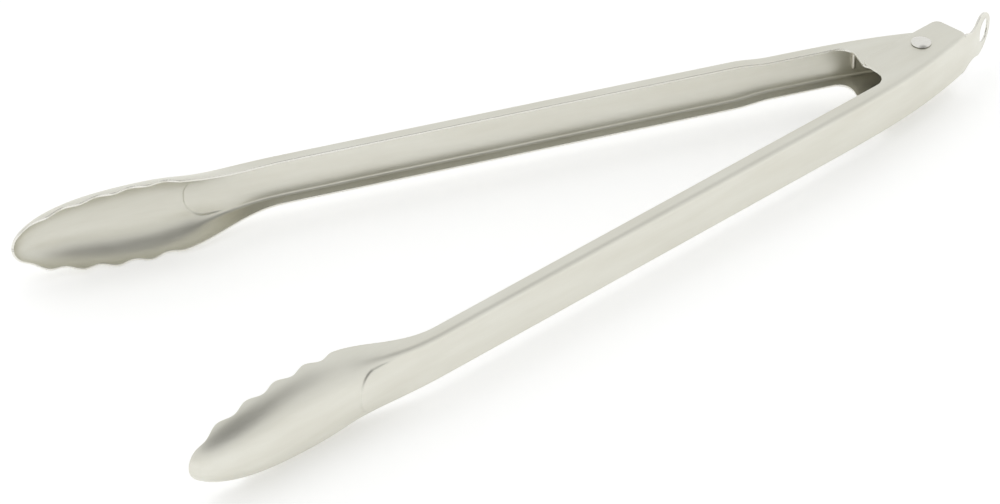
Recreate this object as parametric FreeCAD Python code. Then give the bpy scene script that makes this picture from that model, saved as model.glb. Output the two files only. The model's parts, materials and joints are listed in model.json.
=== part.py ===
"""Spring loaded kitchen tongs, all stainless steel, lying on one side.

Each arm is one pressed sheet: a scalloped spoon head, a U-channel handle and a
pair of ears that straddle the pivot.  The inner arm's ears nest between those
of the outer arm, whose web runs on past the pivot as a bent hanging tab.  A
headed rivet holds both pairs of ears, a sleeve round it keeps them apart, and a
torsion spring coiled round the sleeve pushes the two webs open.

Arm coordinates used while building: s runs from the pivot towards the head,
w runs outwards, away from the other arm, and z runs along the pivot.
The finished assembly has +X along the bisector of the open arms, from the heads
towards the hinge, +Z along the pivot, and its origin at the centre of the
bottom of its bounding box.
"""
import FreeCAD
import Part
import math
import os

V = FreeCAD.Vector
os.makedirs("parts", exist_ok=True)

# ------------------------------------------------------------ driving sizes, mm
HALF_OPEN = 11.02          # half of the angle between the open arms, degrees
SHEET = 1.0                # sheet thickness of both arms
STEP = 0.04                # the handle's sheet is this much thinner, each face, than the drawn head's
HALF_H = 10.5              # half height of the handle channel
NEST_H = 9.2               # half height of the inner arm's ears
WEB_W = 14.1               # outer face of the web from the pivot line
FLANGE_W = 8.6             # free edge of the flanges from the pivot line
BEND_R = 2.2               # outside bend radius of the channel
S_NECK = 262.0             # where the channel starts to open into the head
S_NOSE = 372.6             # where the untrimmed bowl would close
HEAD_HALF = 18.4           # half width of the bowl
HEAD_DEPTH_W = 13.4        # outer face of the bowl's spine
RIM_W = 2.1                # mean height of the scalloped rim
RIM_AXIS_W = -2.0          # axis of the bowl's section
SECT_N = 2.3               # how boxy the bowl's section is
TIP_W = 2.2                # height of the rim at the tip
SCALLOP_PITCH = 13.4
SCALLOP_AMP = 0.85
SCALLOP_FIRST = 304.2      # crest nearest the handle
EAR_FAR_W = -7.2           # far edge of the ears
EAR_LEAD_S = 27.0          # leading edge of the ears
EAR_REAR_S = -16.0         # rear edge of the outer arm's ears
RIVET_R = 2.2              # rivet shank radius
RIVET_HEAD_R = 4.1
RIVET_HEAD_T = 1.5
SLEEVE_R = 3.7
WIRE_R = 0.9               # spring wire radius
COIL_R = 5.1               # mean radius of the coil
COIL_TURNS = 4
COIL_HALF = 4.6            # half of the coil's height, to the wire's centre
BAR_LEN = 8.4              # length of each bent end
WIRE_STEP = 1.15           # spacing of the wire's control sections
LEG_S = 23.5               # where the spring legs end on the webs
TAB_ANGLE = 22.0           # the hanging tab's slant from the handle's line
TAB_LEN = 13.0
TAB_HALF = 9.6             # half width where the tab's round end starts
TAB_BASE = 2.0             # start of the round end, from the tab's root
TAB_NECK = 7.3             # half width of the neck in front of it
SLOT_LEN = 8.4             # hanging hole, along the tab
SLOT_W = 10.4              # and across it
SLOT_AT = 6.6              # hole centre, from the tab's root

JOGGLE = (60.0, 76.0)      # where the inner arm is pressed narrower, s

# plan curve of the web's outer face near the hinge: (s, w)
WEB_PTS = [(60.0, 14.1), (50.0, 14.05), (40.0, 13.9), (29.0, 13.55), (17.0, 12.75),
           (6.0, 11.55), (-3.0, 10.2), (-11.0, 8.75), (-19.0, 6.95), (-25.0, 5.2), (-30.0, 3.1)]


# ------------------------------------------------------------ small helpers
def smooth(x):
    x = max(0.0, min(1.0, x))
    return x * x * (3 - 2 * x)


def spline2(pts, sg, z=0.0, t0=None, t1=None):
    c = Part.BSplineCurve()
    p = [V(s, sg * w, z) for s, w in pts]
    if t0 is None:
        c.interpolate(p)
    else:
        c.interpolate(Points=p, InitialTangent=V(t0[0], sg * t0[1], 0), FinalTangent=V(t1[0], sg * t1[1], 0))
    return c.toShape()


def catmull(pts, n):
    """Dense points on a smooth curve through pts."""
    c = Part.BSplineCurve()
    c.interpolate([V(s, w, 0) for s, w in pts])
    e = c.toShape()
    out = []
    for i in range(n + 1):
        u = c.FirstParameter + (c.LastParameter - c.FirstParameter) * i / n
        p = c.value(u)
        tg = c.tangent(u)[0]
        out.append((p.x, p.y, tg.x, tg.y))
    return out


def line(a, b):
    return Part.LineSegment(a, b).toShape()


def poly_face(pts, sg, z=0.0):
    p = [V(s, sg * w, z) for s, w in pts]
    return Part.Face(Part.Wire(Part.makePolygon(p + [p[0]])))


def place(shape, sg):
    """Arm coordinates to the assembly: sg +1 for the outer arm, -1 for the inner."""
    s = shape.copy()
    s.rotate(V(0, 0, 0), V(0, 0, 1), 180 + sg * HALF_OPEN)
    return s


def rounded_outline(pts, radii):
    """Closed wire (in s, w pairs) with its corners rounded to the given radii."""
    n = len(pts)
    edges, prev_end, first = [], None, None
    for i in range(n):
        a, b, c = V(*pts[i - 1], 0), V(*pts[i], 0), V(*pts[(i + 1) % n], 0)
        r = radii[i]
        if r <= 0:
            start = end = b
            arc = None
        else:
            d1, d2 = (a - b).normalize(), (c - b).normalize()
            half = math.acos(max(-1, min(1, d1.dot(d2)))) / 2
            cut = r / math.tan(half)
            start, end = b + d1 * cut, b + d2 * cut
            mid = b + (d1 + d2).normalize() * (r / math.sin(half) - r)
            arc = Part.Arc(start, mid, end).toShape()
        if prev_end is None:
            first = start
        elif (prev_end - start).Length > 1e-6:
            edges.append(line(prev_end, start))
        if arc:
            edges.append(arc)
        prev_end = end
    if (prev_end - first).Length > 1e-6:
        edges.append(line(prev_end, first))
    return Part.Wire(edges)


# ------------------------------------------------------------ the scalloped head
def half_width(s):
    """Half width of the neck and bowl at its section axis."""
    if s <= 318.0:
        return HALF_H + (HEAD_HALF - HALF_H) * smooth((s - S_NECK) / (318.0 - S_NECK))
    k = min(1.0, (s - 318.0) / (S_NOSE - 318.0))
    return HEAD_HALF * (1 - k ** 2) ** 0.45


def spine_w(s):
    """Outer face of the spine, z = 0."""
    if s <= 335.0:
        return WEB_W + (HEAD_DEPTH_W - WEB_W) * smooth((s - S_NECK) / 40.0)
    k = min(1.0, (s - 335.0) / (S_NOSE - 335.0))
    return RIM_AXIS_W + (HEAD_DEPTH_W - RIM_AXIS_W) * (1 - k ** 2.2) ** 0.443


def rim_w(s):
    """Height of the cut edge: flange, then neck, then five scallops and the tip lobe."""
    if s < SCALLOP_FIRST:
        crest = RIM_W - SCALLOP_AMP
        return FLANGE_W + (crest - FLANGE_W) * smooth((s - S_NECK) / (SCALLOP_FIRST - S_NECK))
    last = SCALLOP_FIRST + 4.5 * SCALLOP_PITCH
    if s < last:
        return RIM_W - SCALLOP_AMP * math.cos(2 * math.pi * (s - SCALLOP_FIRST) / SCALLOP_PITCH)
    v = RIM_W + SCALLOP_AMP
    return v - (v - TIP_W) * smooth((s - last) / 5.0)


def section(s, tau):
    """Untrimmed outer face, tau -1..1 across: a U-channel that swells into a bowl."""
    hh = half_width(s)
    sp = spine_w(s)
    sg = 1 if tau >= 0 else -1
    R = BEND_R
    a, b, c = hh - R, math.pi * R / 2, sp - R - RIM_AXIS_W
    L = abs(tau) * (a + b + c)
    if L <= a:
        w, z = sp, L
    elif L <= a + b:
        q = (L - a) / R
        w, z = sp - R + R * math.cos(q), a + R * math.sin(q)
    else:
        w, z = sp - R - (L - a - b), hh
    B = smooth((s - S_NECK) / 42.0)
    if B > 0:
        ph = abs(tau) * math.pi / 2
        wh = RIM_AXIS_W + (sp - RIM_AXIS_W) * math.cos(ph) ** (2 / SECT_N)
        zh = hh * math.sin(ph) ** (2 / SECT_N)
        w, z = w + (wh - w) * B, z + (zh - z) * B
    return w, sg * z


def head_solid(sg):
    """The drawn sheet as one smooth shell, then its edge cut to the rim's outline."""
    rows, cols = 45, 81
    x_end = 0.93
    X = [x_end * i / (rows - 1) for i in range(rows)]
    T = [-1 + 2 * j / (cols - 1) for j in range(cols)]

    def P(x, t):
        s = S_NECK + (S_NOSE - S_NECK) * (1 - (1 - x) ** 2)
        t = max(-0.9999, min(0.9999, t))
        w, z = section(s, t)
        return V(s, sg * w, z)

    outer, inner = [], []
    e = 1e-3
    for x in X:
        ro, ri = [], []
        for t in T:
            d1 = P(x + e, t) - P(max(x - e, 0), t)
            d2 = P(x, t + e) - P(x, t - e)
            n = d1.cross(d2)
            if x == 0:
                n.x = 0
            n.normalize()
            ro.append(P(x, t))
            ri.append(n)
        outer.append(ro)
        inner.append(ri)
    flip = 1 if inner[5][cols // 2].y * sg > 0 else -1
    inn = [[p - n * (SHEET * flip) for p, n in zip(r, q)] for r, q in zip(outer, inner)]
    bo = Part.BSplineSurface()
    bo.interpolate(outer)
    bi = Part.BSplineSurface()
    bi.interpolate(inn)
    u0, u1, v0, v1 = bo.bounds()
    p0, p1, q0, q1 = bi.bounds()
    pairs = [(bo.uIso(u0), bi.uIso(p0)), (bo.uIso(u1), bi.uIso(p1)),
             (bo.vIso(v0), bi.vIso(q0)), (bo.vIso(v1), bi.vIso(q1))]
    faces = [bo.toShape(), bi.toShape()]
    for m, n in pairs:
        faces.append(Part.makeRuledSurface(m.toShape(), n.toShape()))
    sh = Part.makeShell(faces)
    sh.sewShape()
    so = Part.Solid(sh)
    if so.Volume < 0:
        so.reverse()
    # everything on the other arm's side of the rim is cut away
    pts = []
    n = 110
    for i in range(n + 1):
        s = S_NECK + (S_NOSE + 2 - S_NECK) * i / n
        pts.append(V(s, sg * rim_w(s), 0))
    c = Part.BSplineCurve()
    c.interpolate(pts)
    far = -12.0
    w = Part.Wire([line(V(S_NECK - 2, sg * FLANGE_W, 0), pts[0]), c.toShape(),
                   line(pts[-1], V(S_NOSE + 2, sg * far, 0)),
                   line(V(S_NOSE + 2, sg * far, 0), V(S_NECK - 2, sg * far, 0)),
                   line(V(S_NECK - 2, sg * far, 0), V(S_NECK - 2, sg * FLANGE_W, 0))])
    f = Part.Face(w)
    f.translate(V(0, 0, -30))
    return so.cut(f.extrude(V(0, 0, 60)))


# ------------------------------------------------------------ handle and ears
def web_curve(offset, n=60):
    """Plan points of the web face, moved inwards by offset, from the hinge end."""
    pts = list(reversed(WEB_PTS))
    dense = catmull(pts, n)
    out = []
    for x, y, tx, ty in dense:
        L = math.hypot(tx, ty)
        nx, ny = -ty / L, tx / L
        if ny < 0:
            nx, ny = -nx, -ny
        out.append((x - nx * offset, y - ny * offset))
    return out


def tab_end(offset):
    a = math.radians(TAB_ANGLE)
    p = web_curve(offset)[0]
    q = (p[0] - (TAB_LEN + 2) * math.cos(a), p[1] - (TAB_LEN + 2) * math.sin(a))
    return p, q


def plan_region(offset, sg, s_max, w_close, rear):
    """Plan face under the web curve, closed at w_close."""
    pts = web_curve(offset)
    if rear == "tab":
        start = tab_end(offset)[1]
        curve = spline2(pts, sg)
        ed = [line(V(start[0], sg * start[1], 0), V(pts[0][0], sg * pts[0][1], 0)), curve]
    else:
        curve = spline2(pts, sg)
        start = pts[0]
        ed = [curve]
    last = (s_max, WEB_W - offset)
    ed.append(line(V(pts[-1][0], sg * pts[-1][1], 0), V(last[0], sg * last[1], 0)))
    ed.append(line(V(last[0], sg * last[1], 0), V(last[0], sg * w_close, 0)))
    ed.append(line(V(last[0], sg * w_close, 0), V(start[0], sg * w_close, 0)))
    ed.append(line(V(start[0], sg * w_close, 0), V(start[0], sg * start[1], 0)))
    return Part.Face(Part.Wire(ed))


def block(offset, sg, hh, r, w_close):
    f = plan_region(offset, sg, S_NECK, w_close, "plain")
    f.translate(V(0, 0, -hh))
    b = f.extrude(V(0, 0, 2 * hh))
    ed = []
    for e in b.Edges:
        bb = e.BoundBox
        if abs(bb.ZMax - bb.ZMin) > 1e-6:
            continue
        m = e.valueAt((e.FirstParameter + e.LastParameter) / 2)
        if bb.XLength > 5 and sg * m.y > w_close + 5:
            ed.append(e)
    return b.makeFillet(r, ed)


def channel(sg):
    out = block(STEP, sg, HALF_H - STEP, BEND_R - STEP, -20.0)
    inn = block(SHEET - STEP, sg, HALF_H - SHEET + STEP, BEND_R - SHEET + STEP, -40.0)
    return out.cut(inn)


def ear_prism(pts, radii, sg):
    w = rounded_outline(pts, radii)
    f = Part.Face(w)
    if sg < 0:
        f = f.mirror(V(0, 0, 0), V(0, 1, 0))
    f.translate(V(0, 0, -30))
    return f.extrude(V(0, 0, 60))


def outer_ear_prism(sg):
    pts = [(S_NECK + 5, FLANGE_W), (EAR_LEAD_S, FLANGE_W), (EAR_LEAD_S, EAR_FAR_W),
           (EAR_REAR_S, EAR_FAR_W), (EAR_REAR_S - 2.2, 9.0), (EAR_REAR_S - 2.2, 25.0), (S_NECK + 5, 25.0)]
    return ear_prism(pts, [0, 6.5, 4.0, 3.2, 0, 0, 0], sg)


def inner_ear_prism(sg):
    pts = [(S_NECK + 5, FLANGE_W), (EAR_LEAD_S, FLANGE_W), (EAR_LEAD_S, EAR_FAR_W),
           (-2.0, EAR_FAR_W), (-9.6, -0.5), (-9.6, 25.0), (S_NECK + 5, 25.0)]
    return ear_prism(pts, [0, 6.5, 4.0, 3.0, 3.0, 0, 0], sg)


def tab(sg):
    """Web strip behind the outer arm's ears, bent across the end, with its slot."""
    f_out = plan_region(0.0, sg, S_NECK, -60.0, "tab")
    f_in = plan_region(SHEET, sg, S_NECK, -60.0, "tab")
    strips = []
    for f in (f_out, f_in):
        f.translate(V(0, 0, -15))
        strips.append(f.extrude(V(0, 0, 30)))
    strip = strips[0].cut(strips[1])
    a = math.radians(TAB_ANGLE)
    s0 = web_curve(0.0)[0][0]
    top = HALF_H - BEND_R + 0.9
    neck = [(-18.6, top), (-20.5, top - 0.55), (-22.5, TAB_NECK + 0.4), (-25.3, TAB_NECK), (-28.0, TAB_NECK + 0.6),
            (s0, TAB_HALF - 0.8)]
    end = []
    for i in range(15):
        q = math.pi / 2 * i / 14
        ell = TAB_BASE + (TAB_LEN - TAB_BASE) * math.sin(q)
        end.append((s0 - ell * math.cos(a), TAB_HALF * math.cos(q) if i < 14 else 0.0))
    c = Part.BSplineCurve()
    up = neck + end
    arc = [V(s, 0, z) for s, z in up] + [V(s, 0, -z) for s, z in reversed(up[:-1])]
    c.interpolate(arc)
    ed = [line(V(-14.0, 0, top), arc[0]), c.toShape(), line(arc[-1], V(-14.0, 0, -top)),
          line(V(-14.0, 0, -top), V(-14.0, 0, top))]
    f = Part.Face(Part.Wire(ed))
    f.translate(V(0, -60, 0))
    body = strip.common(f.extrude(V(0, 120, 0)))
    # hanging hole, cut square to the tab
    r = SLOT_LEN / 2
    k = SLOT_W / 2 - r
    e1 = Part.Arc(V(-r, 0, k), V(0, 0, k + r), V(r, 0, k)).toShape()
    e2 = Part.Arc(V(r, 0, -k), V(0, 0, -k - r), V(-r, 0, -k)).toShape()
    w = Part.Wire([e1, line(V(r, 0, k), V(r, 0, -k)), e2, line(V(-r, 0, -k), V(-r, 0, k))])
    fs = Part.Face(w)
    fs.translate(V(0, -10, 0))
    tool = fs.extrude(V(0, 20, 0))
    tool.rotate(V(0, 0, 0), V(0, 0, 1), sg * TAB_ANGLE)
    p = web_curve(0.5)[0]
    cx, cy = p[0] - SLOT_AT * math.cos(a), p[1] - SLOT_AT * math.sin(a)
    tool.translate(V(cx, sg * cy, 0))
    return body.cut(tool)


def nest(shape, sg):
    return shape


def inner_channel(sg):
    """The inner arm's channel, pressed narrower where its ears nest."""
    z0, z1 = JOGGLE
    full = channel(sg)
    keep = Part.makeBox(300, 80, 60, V(z1, -40, -30))
    far = full.common(keep)
    narrow_o = block(STEP, sg, NEST_H - STEP, BEND_R - STEP, -20.0)
    narrow_i = block(SHEET - STEP, sg, NEST_H - SHEET + STEP, BEND_R - SHEET + STEP, -40.0)
    near = narrow_o.cut(narrow_i).common(Part.makeBox(z0 + 100, 80, 60, V(-100, -40, -30)))

    def sect(s, hh, off):
        import bisect
        curve = sorted(web_curve(off))
        xs = [c[0] for c in curve]
        if s >= xs[-1]:
            wv = WEB_W - off
        else:
            i = bisect.bisect(xs, s)
            q = (s - xs[i - 1]) / (xs[i] - xs[i - 1])
            wv = curve[i - 1][1] + q * (curve[i][1] - curve[i - 1][1])
        R = BEND_R - off
        H = hh - off
        c = math.sqrt(0.5)
        low = FLANGE_W - 4.0
        def p(w, z):
            return V(s, sg * w, z)
        return p, wv, R, H, c, low

    def ring(s, hh):
        p, wv, R, H, c, low = sect(s, hh, STEP)
        ed = [line(p(low, H), p(wv - R, H)),
              Part.Arc(p(wv - R, H), p(wv - R + R * c, H - R + R * c), p(wv, H - R)).toShape(),
              line(p(wv, H - R), p(wv, R - H)),
              Part.Arc(p(wv, R - H), p(wv - R + R * c, R - H - R * c), p(wv - R, -H)).toShape(),
              line(p(wv - R, -H), p(low, -H))]
        p, wv, R, H2, c, low = sect(s, hh, SHEET - STEP)
        ed += [line(p(low, -H), p(low, -H2)), line(p(low, -H2), p(wv - R, -H2)),
               Part.Arc(p(wv - R, -H2), p(wv - R + R * c, R - H2 - R * c), p(wv, R - H2)).toShape(),
               line(p(wv, R - H2), p(wv, H2 - R)),
               Part.Arc(p(wv, H2 - R), p(wv - R + R * c, H2 - R + R * c), p(wv - R, H2)).toShape(),
               line(p(wv - R, H2), p(low, H2)), line(p(low, H2), p(low, H))]
        return Part.Wire(ed)

    rings = []
    n = 8
    for i in range(n + 1):
        q = i / n
        rings.append(ring(z0 + (z1 - z0) * q, NEST_H + (HALF_H - NEST_H) * smooth(q)))
    mid = Part.makeLoft(rings, True, False)
    return near, mid, far


def pivot_holes(shape, r):
    return shape.cut(Part.makeCylinder(r, 60, V(0, 0, -30)))


def outer_arm():
    sg = 1
    ch = channel(sg).common(outer_ear_prism(sg))
    body = ch.fuse(tab(sg))
    body = body.fuse(head_solid(sg))
    body = pivot_holes(body, RIVET_R)
    return body


def inner_arm():
    sg = -1
    near, mid, far = inner_channel(sg)
    pr = inner_ear_prism(sg)
    body = near.common(pr).fuse([mid.common(pr), far.common(pr)], 0.001)
    body = body.fuse(head_solid(sg))
    body = pivot_holes(body, RIVET_R + 0.05)
    return body


# ------------------------------------------------------------ pivot pieces
def rivet():
    """Shank with a low dome on top and the same dome clenched on below."""
    z, rh, th = HALF_H, RIVET_HEAD_R, RIVET_HEAD_T
    cap = th - 0.35
    rs = (rh * rh + cap * cap) / (2 * cap)
    body = Part.makeCylinder(RIVET_R, 2 * z, V(0, 0, -z))
    top = Part.makeCylinder(rh, th + 1, V(0, 0, z)).common(Part.makeSphere(rs, V(0, 0, z + th - rs)))
    low = Part.makeCylinder(rh, th + 1, V(0, 0, -z - th - 1)).common(Part.makeSphere(rs, V(0, 0, -z - th + rs)))
    return body.fuse([top, low])


def sleeve():
    h = NEST_H - SHEET - 0.15
    a = Part.makeCylinder(SLEEVE_R, 2 * h, V(0, 0, -h))
    return a.cut(Part.makeCylinder(RIVET_R, 2 * h + 2, V(0, 0, -h - 1)))


def bar_pos(sg, s=LEG_S):
    """Plan position, in the assembly, of a spring leg's end against a web."""
    pts = sorted(web_curve(SHEET + WIRE_R + 0.05))
    for i in range(1, len(pts)):
        if pts[i][0] >= s:
            q = (s - pts[i - 1][0]) / (pts[i][0] - pts[i - 1][0])
            w = pts[i - 1][1] + q * (pts[i][1] - pts[i - 1][1])
            break
    a = math.radians(HALF_OPEN)
    if sg > 0:
        return V(-s * math.cos(a) + w * math.sin(a), -s * math.sin(a) - w * math.cos(a), 0)
    return V(-s * math.cos(a) + w * math.sin(a), s * math.sin(a) + w * math.cos(a), 0)


def tangent_angle(p, side):
    """Angle on the coil where a straight leg towards p leaves it."""
    d = math.hypot(p.x, p.y)
    return math.atan2(p.y, p.x) + side * math.acos(COIL_R / d)


def spring():
    z0 = COIL_HALF
    pi_, po = bar_pos(-1), bar_pos(1)
    # lower leg goes to the outer arm, upper leg to the inner arm; the legs leave
    # the coil on the hinge side so that closing the arms winds it up
    a0 = tangent_angle(po, 1)
    a1 = tangent_angle(pi_, -1)
    return a0, a1, po, pi_


def spring_path():
    """Dense points along the wire: end bar, leg, coil, leg, end bar."""
    a0, a1, po, pi_ = spring()
    z0, rb, up = COIL_HALF, 2.6, BAR_LEN
    turn = (a1 - a0) % (2 * math.pi) + 2 * math.pi * (COIL_TURNS - 1)
    ease = math.pi / 3
    pts = []

    def leg(base, p, zb, dz):
        q = V(p.x, p.y, zb)
        d = (q - base)
        L = d.Length
        d.normalize()
        out = []
        n = 40
        for i in range(n):
            out.append(base + d * ((L - rb) * i / n))
        c = base + d * (L - rb) + V(0, 0, dz * rb)
        for i in range(25):
            t = math.pi / 2 * i / 24
            out.append(c + d * (rb * math.sin(t)) - V(0, 0, dz * rb * math.cos(t)))
        for i in range(1, 13):
            out.append(q + V(0, 0, dz * (rb + (up - rb) * i / 12)))
        return out

    def rise(x):
        f = lambda v: v * v / (2 * ease) if v < ease else v - ease / 2
        tot = turn - ease
        return f(x) / tot if x <= turn - ease else 1 - f(turn - x) / tot

    base0 = V(COIL_R * math.cos(a0), COIL_R * math.sin(a0), -z0)
    base1 = V(COIL_R * math.cos(a1), COIL_R * math.sin(a1), z0)
    pts += list(reversed(leg(base0, po, -z0, 1)[1:]))
    n = 400
    for i in range(n + 1):
        x = turn * i / n
        pts.append(V(COIL_R * math.cos(a0 + x), COIL_R * math.sin(a0 + x), -z0 + 2 * z0 * rise(x)))
    pts += leg(base1, pi_, z0, -1)[1:]
    return pts


def resample(pts, step):
    d = [0.0]
    for i in range(1, len(pts)):
        d.append(d[-1] + (pts[i] - pts[i - 1]).Length)
    n = int(round(d[-1] / step))
    out, j = [], 0
    for k in range(n + 1):
        x = d[-1] * k / n
        while j < len(d) - 2 and d[j + 1] < x:
            j += 1
        q = (x - d[j]) / max(1e-9, d[j + 1] - d[j])
        out.append(pts[j] + (pts[j + 1] - pts[j]) * q)
    return out


def build_spring():
    """The wire as short round lengths joined end to end, one solid."""
    pts = resample(spring_path(), WIRE_STEP)
    n = len(pts)
    tang = []
    for i in range(n):
        t = pts[min(i + 1, n - 1)] - pts[max(i - 1, 0)]
        t.normalize()
        tang.append(t)
    tang[0], tang[-1] = V(0, 0, -1), V(0, 0, -1)
    nv = V(1, 0, 0)
    wires = []
    for p, t in zip(pts, tang):
        nv = nv - t * nv.dot(t)
        nv.normalize()
        c = Part.Circle(p, t, WIRE_R)
        c.XAxis = nv
        wires.append(Part.Wire(c.toShape()))
    return Part.makeLoft(wires, True, True)


# ------------------------------------------------------------ assemble
parts = {
    "outer_arm": place(outer_arm(), 1),
    "inner_arm": place(inner_arm(), -1),
    "pivot_rivet": rivet(),
    "spacer_sleeve": sleeve(),
    "torsion_spring": build_spring(),
}
box = None
for n, s in parts.items():
    b = s.optimalBoundingBox(False)
    if box is None:
        box = FreeCAD.BoundBox(b)
    else:
        box.add(b)
shift = V(-(box.XMin + box.XMax) / 2, -(box.YMin + box.YMax) / 2, -box.ZMin)
for n, s in parts.items():
    s.translate(shift)
    print(n, "valid", s.isValid(), "solids", len(s.Solids), "vol", round(s.Volume, 1), "faces", len(s.Faces))
    (s.Solids[0] if len(s.Solids) == 1 else s).exportStep("parts/%s.step" % n)
print("pivot at", [round(v, 3) for v in shift], "box", [round(v, 3) for v in (box.XLength, box.YLength, box.ZLength)])
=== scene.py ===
"""Looks of the spring loaded kitchen tongs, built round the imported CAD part.

The two pressed arms, the rivet, its sleeve and the spring wire are meshed here at
full finish and stand for the CAD nodes of the same pieces.
"""
import json
import math

import bpy
import bmesh
import numpy as np
from mathutils import Matrix, Vector
from mathutils.geometry import delaunay_2d_cdt

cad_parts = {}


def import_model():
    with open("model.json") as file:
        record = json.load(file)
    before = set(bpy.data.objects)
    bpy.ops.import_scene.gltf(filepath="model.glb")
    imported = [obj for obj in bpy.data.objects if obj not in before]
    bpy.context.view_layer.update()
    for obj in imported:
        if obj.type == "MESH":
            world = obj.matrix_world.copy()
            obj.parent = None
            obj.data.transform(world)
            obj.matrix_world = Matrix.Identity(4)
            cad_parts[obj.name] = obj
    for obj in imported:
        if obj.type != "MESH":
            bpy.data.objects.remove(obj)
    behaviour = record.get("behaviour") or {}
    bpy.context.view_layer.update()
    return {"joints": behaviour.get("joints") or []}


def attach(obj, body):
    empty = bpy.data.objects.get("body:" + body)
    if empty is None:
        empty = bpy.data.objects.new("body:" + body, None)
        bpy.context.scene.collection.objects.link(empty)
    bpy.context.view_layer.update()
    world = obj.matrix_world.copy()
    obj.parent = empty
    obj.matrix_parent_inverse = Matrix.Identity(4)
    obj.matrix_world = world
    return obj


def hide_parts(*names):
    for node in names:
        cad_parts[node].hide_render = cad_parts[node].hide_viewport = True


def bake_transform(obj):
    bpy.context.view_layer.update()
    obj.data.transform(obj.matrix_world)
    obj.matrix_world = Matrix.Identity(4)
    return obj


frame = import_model()

PIV = np.array([float(v) for v in frame["joints"][0]["pos_m"]])
HALF_OPEN = math.radians(11.02)

# ------------------------------------------------------------ sizes, mm
SHEET = 1.0
HALF_H, NEST_H = 10.5, 9.2
WEB_W, FLANGE_W, BEND_R = 14.1, 8.6, 2.2
S_NECK, S_NOSE = 262.0, 372.6
HEAD_HALF, HEAD_DEPTH_W = 18.4, 13.4
RIM_W, RIM_AXIS_W, SECT_N, TIP_W = 2.1, -2.0, 2.3, 2.2
PITCH, AMP, FIRST_CREST = 13.4, 0.85, 304.2
TAB_ANGLE, TAB_LEN, TAB_HALF, TAB_BASE, TAB_NECK = math.radians(22.0), 13.0, 9.6, 2.0, 7.3
SLOT_LEN, SLOT_W, SLOT_AT = 8.4, 10.4, 6.6
RIVET_R, HEAD_R, HEAD_T = 2.2, 4.1, 1.5
SLEEVE_R = 3.7
WIRE_R, COIL_R, COIL_TURNS, COIL_HALF, BAR_LEN, LEG_S = 0.9, 5.1, 4, 4.6, 8.4, 23.5
WEB_PTS = [(60.0, 14.1), (50.0, 14.05), (40.0, 13.9), (29.0, 13.55), (17.0, 12.75),
           (6.0, 11.55), (-3.0, 10.2), (-11.0, 8.75), (-19.0, 6.95), (-25.0, 5.2), (-30.0, 3.1)]
STEP_HALF, STEP_R, STEP_END, STEP_H = 9.4, 8.2, 301.2, 0.50   # end of the handle's flat web
EDGE_R = 0.2
# profile of a cut edge: across the sheet (1 outer skin, -1 inner), and how far out
EDGE = [(1.0, 0.0), (0.93, 0.09), (0.78, 0.16), (0.5, 0.2), (-0.5, 0.2), (-0.78, 0.16), (-0.93, 0.09), (-1.0, 0.0)]


def smooth(x):
    x = np.clip(x, 0.0, 1.0)
    return x * x * (3 - 2 * x)


def half_width(s, sg):
    a = HALF_H + (HEAD_HALF - HALF_H) * smooth((s - S_NECK) / (318.0 - S_NECK))
    k = np.clip((s - 318.0) / (S_NOSE - 318.0), 0, 1)
    out = np.where(s <= 318.0, a, HEAD_HALF * (1 - k ** 2) ** 0.45)
    if sg < 0:
        out = out - (HALF_H - NEST_H) * (1 - smooth((s - 60.0) / 16.0))
    return out


def spine_w(s):
    a = WEB_W + (HEAD_DEPTH_W - WEB_W) * smooth((s - S_NECK) / 40.0)
    k = np.clip((s - 335.0) / (S_NOSE - 335.0), 0, 1)
    return np.where(s <= 335.0, a, RIM_AXIS_W + (HEAD_DEPTH_W - RIM_AXIS_W) * (1 - k ** 2.2) ** 0.443)


def rim_w(s):
    crest = RIM_W - AMP
    a = FLANGE_W + (crest - FLANGE_W) * smooth((s - S_NECK) / (FIRST_CREST - S_NECK))
    last = FIRST_CREST + 4.5 * PITCH
    b = RIM_W - AMP * np.cos(2 * math.pi * (s - FIRST_CREST) / PITCH)
    v = RIM_W + AMP
    c = v - (v - TIP_W) * smooth((s - last) / 5.0)
    return np.where(s < FIRST_CREST, a, np.where(s < last, b, c))


def lengths(s, sg):
    hh, sp = half_width(s, sg), spine_w(s)
    return hh - BEND_R, np.full_like(s, math.pi * BEND_R / 2), sp - BEND_R - RIM_AXIS_W, hh, sp


def section(s, tau, sg):
    """Outer face before trimming; s and tau are arrays of one shape."""
    a, b, c, hh, sp = lengths(s, sg)
    L = np.abs(tau) * (a + b + c)
    q = np.clip((L - a) / BEND_R, 0, math.pi / 2)
    w = np.where(L <= a, sp, np.where(L <= a + b, sp - BEND_R + BEND_R * np.cos(q), sp - BEND_R - (L - a - b)))
    z = np.where(L <= a, L, np.where(L <= a + b, a + BEND_R * np.sin(q), hh))
    B = smooth((s - S_NECK) / 42.0)
    ph = np.clip(np.abs(tau), 0, 1) * math.pi / 2
    wh = RIM_AXIS_W + (sp - RIM_AXIS_W) * np.cos(ph) ** (2 / SECT_N)
    zh = hh * np.sin(ph) ** (2 / SECT_N)
    w, z = w + (wh - w) * B, z + (zh - z) * B
    return np.stack([s + 0 * w, w, np.where(tau >= 0, z, -z)], -1)


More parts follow.
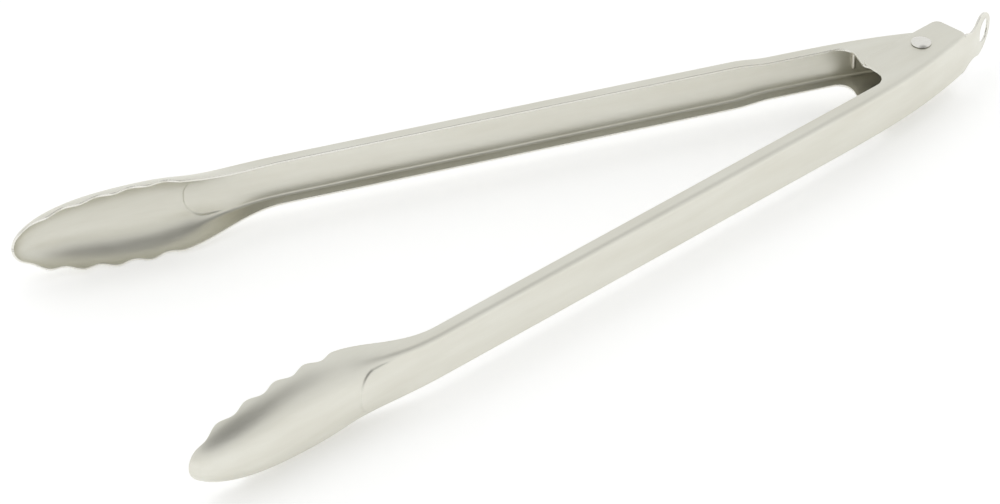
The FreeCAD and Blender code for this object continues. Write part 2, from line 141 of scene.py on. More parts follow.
def skin(s, tau, sg):
    """Outer face, its unit normal and its direction towards the rim."""
    P = section(s, tau, sg)
    es, et = 0.02, 4e-4
    ds = section(s + es, tau, sg) - section(s - es, tau, sg)
    dt = section(s, tau + et, sg) - section(s, tau - et, sg)
    n = np.cross(ds, dt)
    n /= np.linalg.norm(n, axis=-1, keepdims=True) + 1e-12
    n *= np.where(n[..., 1:2] * 1.0 + n[..., 2:3] * np.sign(tau)[..., None] + n[..., 0:1] * 0.3 >= 0, 1, -1)
    e = dt / (np.linalg.norm(dt, axis=-1, keepdims=True) + 1e-12)
    # the flat web of the handle ends as a low rounded step on the back of the head
    x = P[..., 0] - (STEP_END - STEP_R)
    zz = np.abs(P[..., 2]) - (STEP_HALF - STEP_R)
    d = np.hypot(np.maximum(x, 0), np.maximum(zz, 0)) + np.minimum(np.maximum(x, zz), 0) - STEP_R
    amp = STEP_H * smooth((s - 283.0) / 12.0) * smooth(0.5 - d / 0.52)
    return P + n * amp[..., None], n, e


def world(P, sg):
    P = np.asarray(P, float)
    c, t = math.cos(HALF_OPEN), math.sin(HALF_OPEN)
    s, w, z = P[..., 0], P[..., 1], P[..., 2]
    return np.stack([-s * c + w * t, sg * (-s * t - w * c), z], -1) / 1000.0 + PIV


class Sheet:
    """Collects vertices in arm coordinates, faces, and which faces are cut edges."""

    def __init__(self):
        self.v, self.f, self.cut, self.n = [], [], [], 0

    def add(self, pts):
        pts = np.asarray(pts, float).reshape(-1, 3)
        base = self.n
        self.v.append(pts)
        self.n += len(pts)
        return base

    def face(self, f, cut=False):
        self.f.append(f)
        self.cut.append(cut)

    def grid(self, G, cut_cols=(), cut_rows=()):
        """G is rows x cols x 3."""
        r, c = G.shape[:2]
        b = self.add(G)
        for i in range(r - 1):
            for j in range(c - 1):
                self.face((b + i * c + j, b + i * c + j + 1, b + (i + 1) * c + j + 1, b + (i + 1) * c + j),
                          j in cut_cols or i in cut_rows)

    def build(self, name, sg, body, node, mats):
        v = np.concatenate(self.v)
        me = bpy.data.meshes.new(name)
        me.from_pydata(world(v, sg).tolist(), [], self.f)
        for m in mats:
            me.materials.append(m)
        # edge faces take slot 1, the cut edge material whose lighter base colour is a painted highlight
        idx = np.array([1 if c else 0 for c in self.cut], np.int32)
        me.polygons.foreach_set("material_index", idx)
        at = me.attributes.new("sheet", "FLOAT_VECTOR", "POINT")
        at.data.foreach_set("vector", (v / 1000.0).astype(np.float32).ravel())
        bm = bmesh.new()
        bm.from_mesh(me)
        bmesh.ops.remove_doubles(bm, verts=bm.verts, dist=2e-6)
        bmesh.ops.dissolve_degenerate(bm, dist=1e-7, edges=bm.edges)
        bmesh.ops.recalc_face_normals(bm, faces=bm.faces)
        bm.to_mesh(me)
        bm.free()
        me.shade_smooth()
        me.set_sharp_from_angle(angle=math.radians(38))
        ob = bpy.data.objects.new(name, me)
        bpy.context.scene.collection.objects.link(ob)
        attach(ob, body)
        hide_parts(node)
        return ob


# ------------------------------------------------------------ the web's plan curve
def natural_spline(x, y, end_slope):
    """Cubic through the points, flat at the last, given slope at the first."""
    n = len(x)
    A, r = np.zeros((n, n)), np.zeros(n)
    h = np.diff(x)
    A[0, 0], A[0, 1] = 2 * h[0], h[0]
    r[0] = 6 * ((y[1] - y[0]) / h[0] - end_slope)
    A[-1, -1], A[-1, -2] = 2 * h[-1], h[-1]
    r[-1] = 6 * (0.0 - (y[-1] - y[-2]) / h[-1])
    for i in range(1, n - 1):
        A[i, i - 1], A[i, i], A[i, i + 1] = h[i - 1], 2 * (h[i - 1] + h[i]), h[i]
        r[i] = 6 * ((y[i + 1] - y[i]) / h[i] - (y[i] - y[i - 1]) / h[i - 1])
    return np.linalg.solve(A, r)


WX = np.array([p[0] for p in reversed(WEB_PTS)])
WY = np.array([p[1] for p in reversed(WEB_PTS)])
WM = natural_spline(WX, WY, math.tan(math.radians(24.0)))


def web(s):
    """Outer face of the web: plan point, inward-to-outward normal and tangent towards the head."""
    s = np.asarray(s, float)
    x = np.clip(s, WX[0], WX[-1])
    i = np.clip(np.searchsorted(WX, x) - 1, 0, len(WX) - 2)
    h = WX[i + 1] - WX[i]
    a, b = (WX[i + 1] - x) / h, (x - WX[i]) / h
    y = a * WY[i] + b * WY[i + 1] + ((a ** 3 - a) * WM[i] + (b ** 3 - b) * WM[i + 1]) * h * h / 6
    d = (WY[i + 1] - WY[i]) / h + (-(3 * a * a - 1) * WM[i] + (3 * b * b - 1) * WM[i + 1]) * h / 6
    k = 1 / np.sqrt(1 + d * d)
    T = np.stack([k, d * k], -1)
    N = np.stack([-d * k, k], -1)
    return np.stack([s, y], -1), N, T


N1, N2, N3 = 28, 16, 24       # columns of half the web, of a bend, of a flange
NC = N1 + N2 + N3


def skin_columns(s, sg):
    """tau of each column, -NC..NC, for the rows s."""
    a, b, c, hh, sp = lengths(s, sg)
    tot = a + b + c
    rim = rim_w(s)
    lo, hi = np.zeros_like(s), np.ones_like(s)
    for _ in range(50):
        m = (lo + hi) / 2
        above = section(s, m, sg)[..., 1] > rim
        lo, hi = np.where(above, m, lo), np.where(above, hi, m)
    Lr = np.maximum(lo * tot - EDGE_R, 0.004)
    u = np.arange(NC + 1) / NC
    i1, i2 = N1 / NC, (N1 + N2) / NC
    A, Bb, Lr_ = a[:, None], (a + b)[:, None], Lr[:, None]
    U = u[None, :]
    chan = np.where(U <= i1, A * U / i1, np.where(U <= i2, A + (Bb - A) * (U - i1) / (i2 - i1),
                                                    Bb + (Lr_ - Bb) * (U - i2) / (1 - i2)))
    mix = smooth((s - S_NECK) / 42.0)[:, None]
    L = chan + (U * Lr_ - chan) * mix
    tau = L / tot[:, None]
    return np.concatenate([-tau[:, :0:-1], tau], 1)


def ring(P, n, e_first, e_last):
    """One closed strip of the sheet from its outer skin: outer, edge, inner, edge."""
    rows, cols = P.shape[:2]
    inner = P - n * SHEET
    mid_l = P[:, -1] - n[:, -1] * SHEET / 2
    mid_f = P[:, 0] - n[:, 0] * SHEET / 2
    last = np.stack([mid_l + n[:, -1] * (SHEET / 2 * a) + e_last * b for a, b in EDGE[1:-1]], 1)
    first = np.stack([mid_f - n[:, 0] * (SHEET / 2 * a) + e_first * b for a, b in EDGE[1:-1]], 1)
    return np.concatenate([P, last, inner[:, ::-1], first, P[:, :1]], 1)


# ------------------------------------------------------------ flat pieces of an outline
def rounded(pts, radii, step=0.45):
    """Open polyline pts with its inner corners rounded; arcs sampled at step."""
    out = [np.array(pts[0], float)]
    for i in range(1, len(pts) - 1):
        a, b, c = (np.array(pts[k], float) for k in (i - 1, i, i + 1))
        r = radii[i]
        if r <= 0:
            out.append(b)
            continue
        d1, d2 = (a - b) / np.linalg.norm(a - b), (c - b) / np.linalg.norm(c - b)
        half = math.acos(max(-1, min(1, float(d1 @ d2)))) / 2
        cut = r / math.tan(half)
        bis = (d1 + d2) / np.linalg.norm(d1 + d2)
        cen = b + bis * (r / math.sin(half))
        p0, p1 = b + d1 * cut, b + d2 * cut
        a0 = math.atan2(*(p0 - cen)[::-1])
        a1 = math.atan2(*(p1 - cen)[::-1])
        da = (a1 - a0 + math.pi) % (2 * math.pi) - math.pi
        n = max(4, int(abs(da) * r / step))
        out += [cen + r * np.array([math.cos(a0 + da * k / n), math.sin(a0 + da * k / n)]) for k in range(n + 1)]
    out.append(np.array(pts[-1], float))
    return np.array(out)


def densify(P, step):
    out = []
    for i in range(len(P) - 1):
        n = max(1, int(round(np.linalg.norm(P[i + 1] - P[i]) / step)))
        out += [P[i] + (P[i + 1] - P[i]) * k / n for k in range(n)]
    out.append(P[-1])
    return np.array(out)


def outward(P, inside_left=True):
    """Unit normals of an open run of points, away from the sheet."""
    d = np.zeros_like(P)
    d[1:-1] = P[2:] - P[:-2]
    d[0], d[-1] = P[1] - P[0], P[-1] - P[-2]
    d /= np.linalg.norm(d, axis=1, keepdims=True) + 1e-12
    n = np.stack([d[:, 1], -d[:, 0]], 1)
    return n if inside_left else -n


def in_loop(pts, loop):
    x, y = pts[:, 0], pts[:, 1]
    inside = np.zeros(len(pts), bool)
    for (x0, y0), (x1, y1) in zip(loop, np.roll(loop, -1, 0)):
        if y0 == y1:
            continue
        hit = ((y0 > y) != (y1 > y)) & (x < (x1 - x0) * (y - y0) / (y1 - y0) + x0)
        inside ^= hit
    return inside


def plate(sh, joined, free, free_n, holes, interior, place):
    """A 1 mm sheet: joined is a run shared with its neighbour, free a run of cut edge.
    place(points, depth) puts the plan points depth mm below the outer skin."""
    loop = np.concatenate([free - free_n * EDGE_R, joined[1:-1]])
    loops = [loop]
    for h, hn in holes:
        loops.append(h - hn * EDGE_R)
    allp = np.concatenate(loops + ([interior] if len(interior) else []))
    edges, base = [], 0
    for l in loops:
        edges += [(base + i, base + (i + 1) % len(l)) for i in range(len(l))]
        base += len(l)
    res = delaunay_2d_cdt([Vector((float(p[0]), float(p[1]))) for p in allp], edges, [], 0, 1e-7)
    V2 = np.array([[p[0], p[1]] for p in res[0]])
    F = [list(f) for f in res[2]]
    cen = np.array([V2[f].mean(0) for f in F])
    keep = in_loop(cen, loop)
    for l in loops[1:]:
        keep &= ~in_loop(cen, l)
    for depth in (0.0, SHEET):
        b = sh.add(place(V2, np.full(len(V2), depth)))
        for f, k in zip(F, keep):
            if k:
                sh.face(tuple(b + i for i in f))
    runs = [(free, free_n, False)] + [(h, hn, True) for h, hn in holes]
    for p, n, closed in runs:
        if closed:
            p, n = np.concatenate([p, p[:1]]), np.concatenate([n, n[:1]])
        cols = []
        for a, bb in EDGE:
            q = p - n * EDGE_R + n * bb
            cols.append(place(q, np.full(len(q), SHEET / 2 * (1 - a))))
        G = np.stack(cols, 1)
        sh.grid(G, cut_cols=range(len(EDGE)))


def make_arm(name, sg, body, node, mats):
    sh = Sheet()
    # handle and head, one formed sheet
    rows = [60.0, 62, 64, 66, 68, 70, 72, 74, 76, 79] + list(np.linspace(84, 256, 30)) + [259.0]
    dense = np.linspace(S_NECK, 366.0, 4000)
    sw = spine_w(dense)
    arc = np.concatenate([[0], np.cumsum(np.hypot(np.diff(dense), np.diff(sw)))])
    rate = np.where((dense > 283) & (dense < 304), 2.0, 1.0)      # closer rows over the step
    arc = np.concatenate([[0], np.cumsum(np.diff(arc) * rate[1:])])
    rows += list(np.interp(np.linspace(0, arc[-1], int(arc[-1] / 0.58)), arc, dense))
    lo, hi = 366.0, S_NOSE
    for _ in range(60):
        m = (lo + hi) / 2
        if float(spine_w(np.array([m]))[0]) > float(rim_w(np.array([m]))[0]) + 0.02:
            lo = m
        else:
            hi = m
    s_end = lo
    rows += [s_end - (s_end - 366.0) * (1 - v) ** 2 for v in np.linspace(0, 0.985, 30)[1:]]
    s = np.array(rows)
    tau = skin_columns(s, sg)
    S = np.repeat(s[:, None], tau.shape[1], 1)
    P, n, e = skin(S, tau, sg)
    e = e * np.where(tau < 0, -1, 1)[..., None]
    R = ring(P, n, e[:, 0], e[:, -1])
    k = len(EDGE)
    cols = P.shape[1]
    cut = list(range(cols - 1, cols + k - 2)) + list(range(2 * cols + k - 3, 2 * cols + 2 * k - 4))
    sh.grid(R, cut_cols=cut)
    # close the tip
    b = sh.add(np.concatenate([P[-1], (P[-1] - n[-1] * SHEET)]))
    for j in range(cols - 1):
        sh.face((b + j, b + j + 1, b + cols + j + 1, b + cols + j), True)
    # web and bends beside the pivot
    hh = HALF_H if sg > 0 else NEST_H
    rear = -18.2 if sg > 0 else -9.6
    sr = np.concatenate([[rear + EDGE_R], np.linspace(rear + 1.2, 58.5, 40), [60.0]])
    C, N, T = web(sr)
    a = hh - BEND_R
    q = np.linspace(0, math.pi / 2, N2 + 1)[1:]
    half = [(0.0, a * j / N1) for j in range(N1 + 1)] + \
           [(BEND_R - BEND_R * math.cos(t), a + BEND_R * math.sin(t)) for t in q]
    nrm = [(1.0, 0.0)] * (N1 + 1) + [(math.cos(t), math.sin(t)) for t in q]
    prof = [(d, -z, cn, -sn) for (d, z), (cn, sn) in zip(half[:0:-1], nrm[:0:-1])] + \
           [(d, z, cn, sn) for (d, z), (cn, sn) in zip(half, nrm)]
    D = np.array(prof)
    out = np.zeros((len(sr), len(prof), 3))
    nn = np.zeros_like(out)
    out[..., 0] = C[:, None, 0] - N[:, None, 0] * D[None, :, 0]
    out[..., 1] = C[:, None, 1] - N[:, None, 1] * D[None, :, 0]
    out[..., 2] = D[None, :, 1]
    nn[..., 0] = N[:, None, 0] * D[None, :, 2]
    nn[..., 1] = N[:, None, 1] * D[None, :, 2]
    nn[..., 2] = D[None, :, 3]
    sh.grid(out)
    sh.grid(out - nn * SHEET)
    t3 = np.array([-T[0, 0], -T[0, 1], 0.0])
    cap = np.stack([out[0] - nn[0] * SHEET / 2 + nn[0] * (SHEET / 2 * aa) + t3 * bb for aa, bb in EDGE], 1)
    if sg > 0:      # the flat web runs on as the tab
        i0, i1 = N2, N2 + 2 * N1
        sh.grid(cap[:i0 + 1], cut_cols=range(len(EDGE)))
        sh.grid(cap[i1:], cut_cols=range(len(EDGE)))
    else:
        sh.grid(cap, cut_cols=range(len(EDGE)))
    # ears
    be = out[:, -1, :2]                     # end of the bend, from the rear
    joint_flange = R[0, :cols][N1 + N2 + NC:, :2]      # flange columns at s = 60
    tip = be[0] + t3[:2] * EDGE_R
    if sg > 0:
        line = [(60.0, FLANGE_W), (27.0, FLANGE_W), (27.0, -7.2), (-16.0, -7.2), tuple(tip)]
        rad = [0, 6.5, 4.0, 3.2, 0]
    else:
        line = [(60.0, FLANGE_W), (27.0, FLANGE_W), (27.0, -7.2), (-2.0, -7.2), (-9.6, -0.5), tuple(tip)]
        rad = [0, 6.5, 4.0, 3.0, 3.0, 0]
    free = densify(rounded(line, rad), 1.5)
    fn = outward(free, inside_left=False)
    # the run goes towards the hinge with the sheet on its right
    fn[0] = (0, -1)
    fn[-1] = t3[:2]
    joined = np.concatenate([be, joint_flange[1:]])
    r = RIVET_R if sg > 0 else RIVET_R + 0.05
    t = np.linspace(0, 2 * math.pi, 48, endpoint=False)
    hole = np.stack([r * np.cos(t), r * np.sin(t)], 1)
    for side in (1, -1):
        plate(sh, joined, free, fn, [(hole, -hole / r)], np.zeros((0, 2)),
              lambda p, d, side=side: np.stack([p[:, 0], p[:, 1], side * (hh - d)], 1))
    # hanging tab
    if sg > 0:
        sc = np.linspace(WX[0], rear + EDGE_R, 400)
        Cc, Nc, Tc = web(sc)
        arc = np.concatenate([[0], np.cumsum(np.hypot(*np.diff(Cc, axis=0).T))])
        total = arc[-1]
        ca, sa = math.cos(TAB_ANGLE), math.sin(TAB_ANGLE)

        def place(p, d):
            """p: distance behind the start of the tab along its outer face, and z."""
            l = total - p[:, 0]
            base = np.stack([np.interp(l, arc, Cc[:, 0]), np.interp(l, arc, Cc[:, 1])], 1)
            nx = np.stack([np.interp(l, arc, Nc[:, 0]), np.interp(l, arc, Nc[:, 1])], 1)
            f = smooth((2.5 - l) / 5.0)[:, None]          # ease the last of the bend into the flat
            nx = nx * (1 - f) + np.array([-sa, ca]) * f
            nx /= np.linalg.norm(nx, axis=1, keepdims=True)
            over = np.minimum(l, 0.0)[:, None]
            base = base + over * np.array([ca, sa])
            q = base - nx * d[:, None]
            return np.stack([q[:, 0], q[:, 1], p[:, 1]], 1)

        root = total
        # distance behind the start for the arm's s, then the neck and the round end
        def back(x):
            return total - np.interp(x, Cc[:, 0], arc)

        hw = [(0.0, 9.2), (back(-18.9), 9.2), (back(-20.5), 8.65), (back(-22.5), TAB_NECK + 0.4), (back(-25.3), TAB_NECK),
              (back(-28.0), TAB_NECK + 0.6), (root, TAB_HALF - 0.8), (root + TAB_BASE, TAB_HALF)]
        kx = np.array([v[0] for v in hw])
        ky = np.array([v[1] for v in hw])
        fx = np.linspace(0, root + TAB_BASE, 49)[:-1]
        slope = np.gradient(ky, kx)
        j = np.clip(np.searchsorted(kx, fx, side="right") - 1, 0, len(kx) - 2)
        hx = kx[j + 1] - kx[j]
        q = (fx - kx[j]) / hx
        fy = (2 * q ** 3 - 3 * q ** 2 + 1) * ky[j] + (q ** 3 - 2 * q ** 2 + q) * hx * slope[j] + \
             (-2 * q ** 3 + 3 * q ** 2) * ky[j + 1] + (q ** 3 - q ** 2) * hx * slope[j + 1]
        up = [np.array(v) for v in zip(fx, np.minimum(fy, 9.6))]
        end = [np.array([root + TAB_BASE + (TAB_LEN - TAB_BASE) * math.sin(math.pi / 2 * i / 30),
                         TAB_HALF * math.cos(math.pi / 2 * i / 30) if i < 30 else 0.0]) for i in range(31)]
        top = np.array(up + end)
        low = top[::-1][1:] * np.array([1, -1])
        run = densify(np.concatenate([top, low]), 0.8)
        nrm2 = outward(run, inside_left=False)
        nrm2[0], nrm2[-1] = (0, 1), (0, -1)
        z = out[0, N2:N2 + 2 * N1 + 1, 2]
        joined2 = np.stack([np.zeros(len(z)), z], 1)
        joined2 = np.concatenate([[run[-1]], joined2, [run[0]]])
        rr = SLOT_LEN / 2
        kk = SLOT_W / 2 - rr
        tt = np.linspace(0, math.pi, 25)
        h = np.concatenate([np.stack([rr * np.cos(tt), kk + rr * np.sin(tt)], 1),
                            np.stack([-rr * np.cos(tt), -kk - rr * np.sin(tt)], 1)])
        hn = np.concatenate([np.stack([np.cos(tt), np.sin(tt)], 1), np.stack([-np.cos(tt), -np.sin(tt)], 1)])
        h = h + np.array([root + SLOT_AT, 0.0])
        gx, gz = np.meshgrid(np.arange(0.9, root + 2.5, 0.9), np.linspace(-7.4, 7.4, 13))
        inside = np.stack([gx.ravel(), gz.ravel()], 1)
        far = np.array([np.min(np.hypot(*(h - p).T)) > 0.6 for p in inside]) & ~in_loop(inside, h)
        plate(sh, joined2, run, nrm2, [(h, -hn)], inside[far], place)
    return sh.build(name, sg, body, node, mats)


# ------------------------------------------------------------ round pieces
def lathe(name, profile, closed, mats, body, node, seg=96):
    """profile: (r, z) mm round the pivot; r = 0 ends become a point."""
    vs, fs = [], []
    idx = []
    for r, z in profile:
        if r < 1e-6:
            idx.append([len(vs)] * seg)
            vs.append((0, 0, z))
        else:
            idx.append(list(range(len(vs), len(vs) + seg)))
            vs += [(r * math.cos(2 * math.pi * i / seg), r * math.sin(2 * math.pi * i / seg), z) for i in range(seg)]
    m = len(profile)
    for k in range(m if closed else m - 1):
        a, b = idx[k], idx[(k + 1) % m]
        for i in range(seg):
            j = (i + 1) % seg
            f = []
            for v in (a[i], a[j], b[j], b[i]):
                if v not in f:
                    f.append(v)
            if len(f) > 2:
                fs.append(f)
    me = bpy.data.meshes.new(name)
    me.from_pydata((np.array(vs) / 1000 + PIV).tolist(), [], fs)
    me.materials.append(mats)
    at = me.attributes.new("sheet", "FLOAT_VECTOR", "POINT")
    at.data.foreach_set("vector", (np.array(vs) / 1000).astype(np.float32).ravel())
    bm = bmesh.new()
    bm.from_mesh(me)
    bmesh.ops.recalc_face_normals(bm, faces=bm.faces)
    bm.to_mesh(me)
    bm.free()
    me.shade_smooth()
    me.set_sharp_from_angle(angle=math.radians(32))
    ob = bpy.data.objects.new(name, me)
    bpy.context.scene.collection.objects.link(ob)
    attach(ob, body)
    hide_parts(node)
    return ob


def rivet_profile():
    cap = HEAD_T - 0.35
    rs = (HEAD_R ** 2 + cap ** 2) / (2 * cap)
    zc = HALF_H + HEAD_T - rs
    dome = []
    for i in range(29):
        r = (HEAD_R - 0.16) * i / 28
        dome.append((r, zc + math.sqrt(rs * rs - r * r)))
    z1 = dome[-1][1]
    side = [(HEAD_R - 0.09, z1 - 0.035), (HEAD_R - 0.03, z1 - 0.1), (HEAD_R, z1 - 0.17), (HEAD_R - 0.01, HALF_H + 0.2),
            (HEAD_R - 0.07, HALF_H + 0.12), (HEAD_R - 0.4, HALF_H + 0.03), (RIVET_R, HALF_H + 0.002)]
    top = dome + side
    return top + [(r, -z) for r, z in reversed(top)]


def sleeve_profile():
    h = NEST_H - SHEET - 0.15
    c = 0.18
    return [(SLEEVE_R - c, h), (SLEEVE_R, h - c), (SLEEVE_R, -h + c), (SLEEVE_R - c, -h),
            (RIVET_R + 0.12, -h), (RIVET_R + 0.01, -h + 0.1), (RIVET_R + 0.01, h - 0.1), (RIVET_R + 0.12, h)]


# ------------------------------------------------------------ spring wire
def bar_pos(sg, s=LEG_S):
    C, N, T = web(np.array([s]))
    off = SHEET + WIRE_R + 0.05
    ss, w = float(C[0, 0] - N[0, 0] * off), float(C[0, 1] - N[0, 1] * off)
    c, t = math.cos(HALF_OPEN), math.sin(HALF_OPEN)
    return np.array([-ss * c + w * t, sg * (-ss * t - w * c), 0.0])


def wire_path():
    po, pi_ = bar_pos(1), bar_pos(-1)

    def tangent(p, side):
        return math.atan2(p[1], p[0]) + side * math.acos(COIL_R / math.hypot(p[0], p[1]))

    a0, a1 = tangent(po, 1), tangent(pi_, -1)
    z0, rb, up = COIL_HALF, 2.6, BAR_LEN
    turn = (a1 - a0) % (2 * math.pi) + 2 * math.pi * (COIL_TURNS - 1)
    ease = math.pi / 3

    def rise(x):
        f = lambda v: v * v / (2 * ease) if v < ease else v - ease / 2
        tot = turn - ease
        return f(x) / tot if x <= turn - ease else 1 - f(turn - x) / tot

    def leg(base, p, zb, dz):
        q = np.array([p[0], p[1], zb])
        d = q - base
        L = float(np.linalg.norm(d))
        d = d / L
        up3 = np.array([0, 0, dz])
        o = [base + d * ((L - rb) * i / 10) for i in range(10)]
        c = base + d * (L - rb) + up3 * rb
        o += [c + d * (rb * math.sin(math.pi / 2 * i / 16)) - up3 * (rb * math.cos(math.pi / 2 * i / 16)) for i in range(17)]
        o += [q + up3 * (rb + (up - rb) * i / 6) for i in range(1, 7)]
        return o

    b0 = np.array([COIL_R * math.cos(a0), COIL_R * math.sin(a0), -z0])
    b1 = np.array([COIL_R * math.cos(a1), COIL_R * math.sin(a1), z0])
    n = 190
    coil = [np.array([COIL_R * math.cos(a0 + turn * i / n), COIL_R * math.sin(a0 + turn * i / n),
                      -z0 + 2 * z0 * rise(turn * i / n)]) for i in range(n + 1)]
    return leg(b0, po, -z0, 1), coil, leg(b1, pi_, z0, -1)


def wire(name, pts, mat, tip_end, seg=20):
    """Round wire along pts; the far end is chamfered when tip_end is set."""
    pts = np.array(pts)
    T = np.zeros_like(pts)
    T[1:-1] = pts[2:] - pts[:-2]
    T[0], T[-1] = pts[1] - pts[0], pts[-1] - pts[-2]
    T /= np.linalg.norm(T, axis=1, keepdims=True)
    nv = np.array([1.0, 0.0, 0.0]) if abs(T[0, 0]) < 0.9 else np.array([0.0, 1.0, 0.0])
    rad = np.full(len(pts), WIRE_R)
    P, TT, RR, A = list(pts), list(T), list(rad), []
    if tip_end:
        P[-1] = pts[-1] - T[-1] * 0.15
        P += [pts[-1] - T[-1] * 0.04, pts[-1]]
        TT += [T[-1], T[-1]]
        RR += [WIRE_R - 0.05, WIRE_R - 0.16]
    vs, run = [], 0.0
    for i, (p, t, r) in enumerate(zip(P, TT, RR)):
        nv = nv - t * float(nv @ t)
        nv /= np.linalg.norm(nv)
        bv = np.cross(t, nv)
        if i:
            run += float(np.linalg.norm(P[i] - P[i - 1]))
        for k in range(seg):
            a = 2 * math.pi * k / seg
            vs.append(p + nv * r * math.cos(a) + bv * r * math.sin(a))
            A.append((run / 1000, math.cos(a) * WIRE_R / 1000, math.sin(a) * WIRE_R / 1000))
    fs = []
    m = len(P)
    for i in range(m - 1):
        for k in range(seg):
            fs.append((i * seg + k, i * seg + (k + 1) % seg, (i + 1) * seg + (k + 1) % seg, (i + 1) * seg + k))
    fs.append(tuple(range(seg))[::-1])
    fs.append(tuple((m - 1) * seg + k for k in range(seg)))
    me = bpy.data.meshes.new(name)
    me.from_pydata((np.array(vs) / 1000 + PIV).tolist(), [], fs)
    me.materials.append(mat)
    at = me.attributes.new("sheet", "FLOAT_VECTOR", "POINT")
    at.data.foreach_set("vector", np.array(A, np.float32).ravel())
    me.shade_smooth()
    me.set_sharp_from_angle(angle=math.radians(35))
    ob = bpy.data.objects.new(name, me)
    bpy.context.scene.collection.objects.link(ob)
    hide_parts("torsion_spring")
    return ob


# ------------------------------------------------------------ materials
def node(nt, kind, **kw):
    n = nt.nodes.new(kind)
    for k, v in kw.items():
        setattr(n, k, v)
    return n


def steel(name, base, tint, rough, rough_var, streak, bump, mottle=0.5):
    """Steel with a grain that runs along the sheet's first coordinate."""
    m = bpy.data.materials.new(name)
    m.use_nodes = True
    nt = m.node_tree
    bsdf = nt.nodes["Principled BSDF"]
    bsdf.inputs["Metallic"].default_value = 1.0
    att = node(nt, "ShaderNodeAttribute", attribute_name="sheet")
    fine = node(nt, "ShaderNodeMapping")
    fine.inputs["Scale"].default_value = streak
    nt.links.new(att.outputs["Vector"], fine.inputs["Vector"])
    grain = node(nt, "ShaderNodeTexNoise")
    grain.inputs["Scale"].default_value = 1.0
    grain.inputs["Detail"].default_value = 4.0
    grain.inputs["Roughness"].default_value = 0.6
    nt.links.new(fine.outputs["Vector"], grain.inputs["Vector"])
    wide = node(nt, "ShaderNodeMapping")
    wide.inputs["Scale"].default_value = (28.0, 160.0, 160.0)
    nt.links.new(att.outputs["Vector"], wide.inputs["Vector"])
    cloud = node(nt, "ShaderNodeTexNoise")
    cloud.inputs["Scale"].default_value = 1.0
    cloud.inputs["Detail"].default_value = 3.0
    nt.links.new(wide.outputs["Vector"], cloud.inputs["Vector"])
    # colour: a little darker and warmer in the clouds
    ramp = node(nt, "ShaderNodeValToRGB")
    ramp.color_ramp.elements[0].position = 0.32
    ramp.color_ramp.elements[0].color = (*[b * (1 - tint * k) for b, k in zip(base, (0.9, 1.0, 1.25))], 1)
    ramp.color_ramp.elements[1].position = 0.68
    ramp.color_ramp.elements[1].color = (*base, 1)
    nt.links.new(cloud.outputs["Fac"], ramp.inputs["Fac"])
    nt.links.new(ramp.outputs["Color"], bsdf.inputs["Base Color"])
    # roughness: grain over clouds
    mix = node(nt, "ShaderNodeMath", operation="MULTIPLY_ADD")
    mix.inputs[1].default_value = mottle
    nt.links.new(cloud.outputs["Fac"], mix.inputs[0])
    nt.links.new(grain.outputs["Fac"], mix.inputs[2])
    rr = node(nt, "ShaderNodeMapRange")
    rr.inputs["From Min"].default_value = 0.35
    rr.inputs["From Max"].default_value = 0.35 + 0.3 + mottle * 0.6
    rr.inputs["To Min"].default_value = rough - rough_var
    rr.inputs["To Max"].default_value = rough + rough_var
    nt.links.new(mix.outputs[0], rr.inputs["Value"])
    nt.links.new(rr.outputs["Result"], bsdf.inputs["Roughness"])
    b = node(nt, "ShaderNodeBump")
    b.inputs["Strength"].default_value = bump
    b.inputs["Distance"].default_value = 0.00002
    nt.links.new(grain.outputs["Fac"], b.inputs["Height"])
    nt.links.new(b.outputs["Normal"], bsdf.inputs["Normal"])
    return m


SATIN = steel("arm_satin_steel", (0.775, 0.765, 0.695), 0.07, 0.36, 0.08, (55.0, 2600.0, 2600.0), 0.5)
# cut edge faces: a smoother finish than the satin faces, and a lighter base colour that is a painted highlight along
# the sheet's edges
CUT_EDGE_HIGHLIGHT = steel("arm_cut_edge_painted_highlight", (0.84, 0.83, 0.78), 0.06, 0.24, 0.06, (1800.0, 1800.0, 1800.0), 0.25)
POLISH = steel("rivet_polished", (0.82, 0.81, 0.77), 0.05, 0.15, 0.05, (900.0, 900.0, 900.0), 0.15)
WIRE = steel("spring_drawn_wire", (0.70, 0.68, 0.62), 0.10, 0.27, 0.07, (160.0, 5200.0, 5200.0), 0.30)

outer = make_arm("outer_arm_sheet", 1, "outer", "outer_arm", [SATIN, CUT_EDGE_HIGHLIGHT])
inner = make_arm("inner_arm_sheet", -1, "inner", "inner_arm", [SATIN, CUT_EDGE_HIGHLIGHT])
lathe("rivet_headed", rivet_profile(), False, POLISH, "outer", "pivot_rivet")
lathe("sleeve_tube", sleeve_profile(), True, POLISH, "outer", "spacer_sleeve")
leg_o, coil, leg_i = wire_path()
w1 = wire("spring_leg_outer", leg_o, WIRE, True)
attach(w1, "outer")
w2 = wire("spring_coil", coil, WIRE, False)
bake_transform(w2)
w3 = wire("spring_leg_inner", leg_i, WIRE, True)
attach(w3, "inner")

# ------------------------------------------------------------ floor, light, camera
fm = bpy.data.meshes.new("floor")
fm.from_pydata([(-3, -3, 0), (3, -3, 0), (3, 3, 0), (-3, 3, 0)], [], [(0, 1, 2, 3)])
fmat = bpy.data.materials.new("floor_pale")
fmat.use_nodes = True
fb = fmat.node_tree.nodes["Principled BSDF"]
fb.inputs["Base Color"].default_value = (0.9, 0.9, 0.9, 1)
fb.inputs["Emission Color"].default_value = (1, 1, 1, 1)
fb.inputs["Emission Strength"].default_value = 0.27
fb.inputs["Roughness"].default_value = 0.9
fb.inputs["Specular IOR Level"].default_value = 0.1
fm.materials.append(fmat)
floor = bpy.data.objects.new("floor", fm)
bpy.context.scene.collection.objects.link(floor)

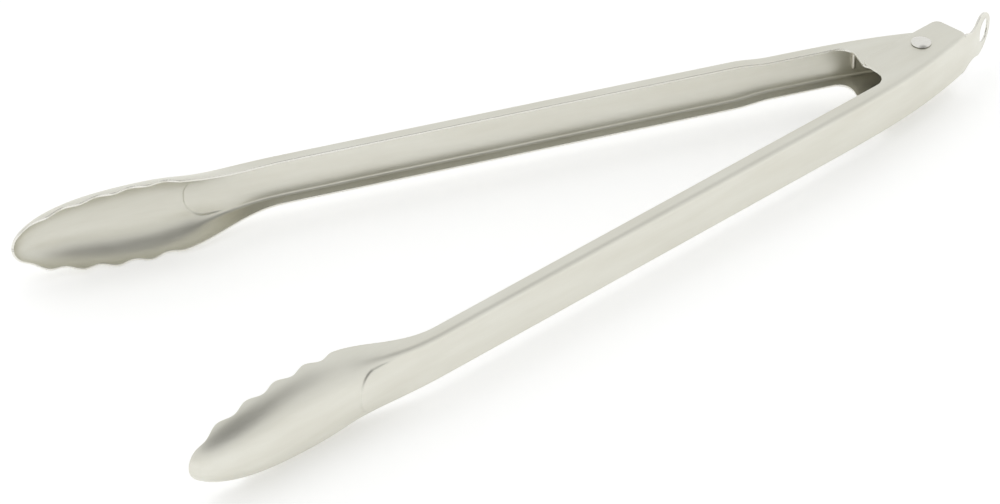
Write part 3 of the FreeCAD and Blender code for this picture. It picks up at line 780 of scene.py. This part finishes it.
world_ = bpy.data.worlds.new("studio")
bpy.context.scene.world = world_
world_.use_nodes = True
wt = world_.node_tree
bg = wt.nodes["Background"]
tc = wt.nodes.new("ShaderNodeTexCoord")
dot = wt.nodes.new("ShaderNodeVectorMath")
dot.operation = "DOT_PRODUCT"
dot.inputs[1].default_value = (0.02, -0.50, 0.866)
wt.links.new(tc.outputs["Generated"], dot.inputs[0])
# an even white tent with one darker opening in front and above
wr = wt.nodes.new("ShaderNodeValToRGB")
wr.color_ramp.interpolation = "EASE"
wt.links.new(dot.outputs["Value"], wr.inputs["Fac"])
wr.color_ramp.elements[0].position = 0.74
wr.color_ramp.elements[0].color = (0.90, 0.905, 0.90, 1)
wr.color_ramp.elements[1].position = 0.96
wr.color_ramp.elements[1].color = (0.26, 0.26, 0.255, 1)
wt.links.new(wr.outputs["Color"], bg.inputs["Color"])
bg.inputs["Strength"].default_value = 1.0


def softbox(name, at, look, size, power):
    d = bpy.data.lights.new(name, "AREA")
    d.shape = "RECTANGLE"
    d.size, d.size_y = size
    d.energy = power
    o = bpy.data.objects.new(name, d)
    o.location = at
    o.rotation_euler = (Vector(look) - Vector(at)).to_track_quat("-Z", "Y").to_euler()
    o.visible_glossy = False
    bpy.context.scene.collection.objects.link(o)
    return o


softbox("top", (0.0, 0.0, 2.0), (0, 0, 0), (2.6, 2.0), 8.0)

RIGHT = Vector((0.8637, -0.5041, 0.0))
UP = Vector((0.3103, 0.5318, 0.7880))
FWD = Vector((0.3972, 0.6806, -0.6157))
cam = bpy.data.cameras.new("camera")
cam.lens, cam.sensor_width = 162.0, 36.0
cam.clip_start, cam.clip_end = 0.05, 30.0
co = bpy.data.objects.new("camera", cam)
FWD.normalize()
RIGHT = FWD.cross(Vector((0, 0, 1))).normalized()
UP = RIGHT.cross(FWD)
pos = Vector(PIV) - 0.1672 * RIGHT - 0.07485 * UP - 1.7928 * FWD
M = Matrix((RIGHT, UP, -FWD)).transposed().to_4x4()
M.translation = pos
co.matrix_world = M
bpy.context.scene.collection.objects.link(co)
bpy.context.scene.camera = co
bpy.context.scene.view_settings.view_transform = "Standard"
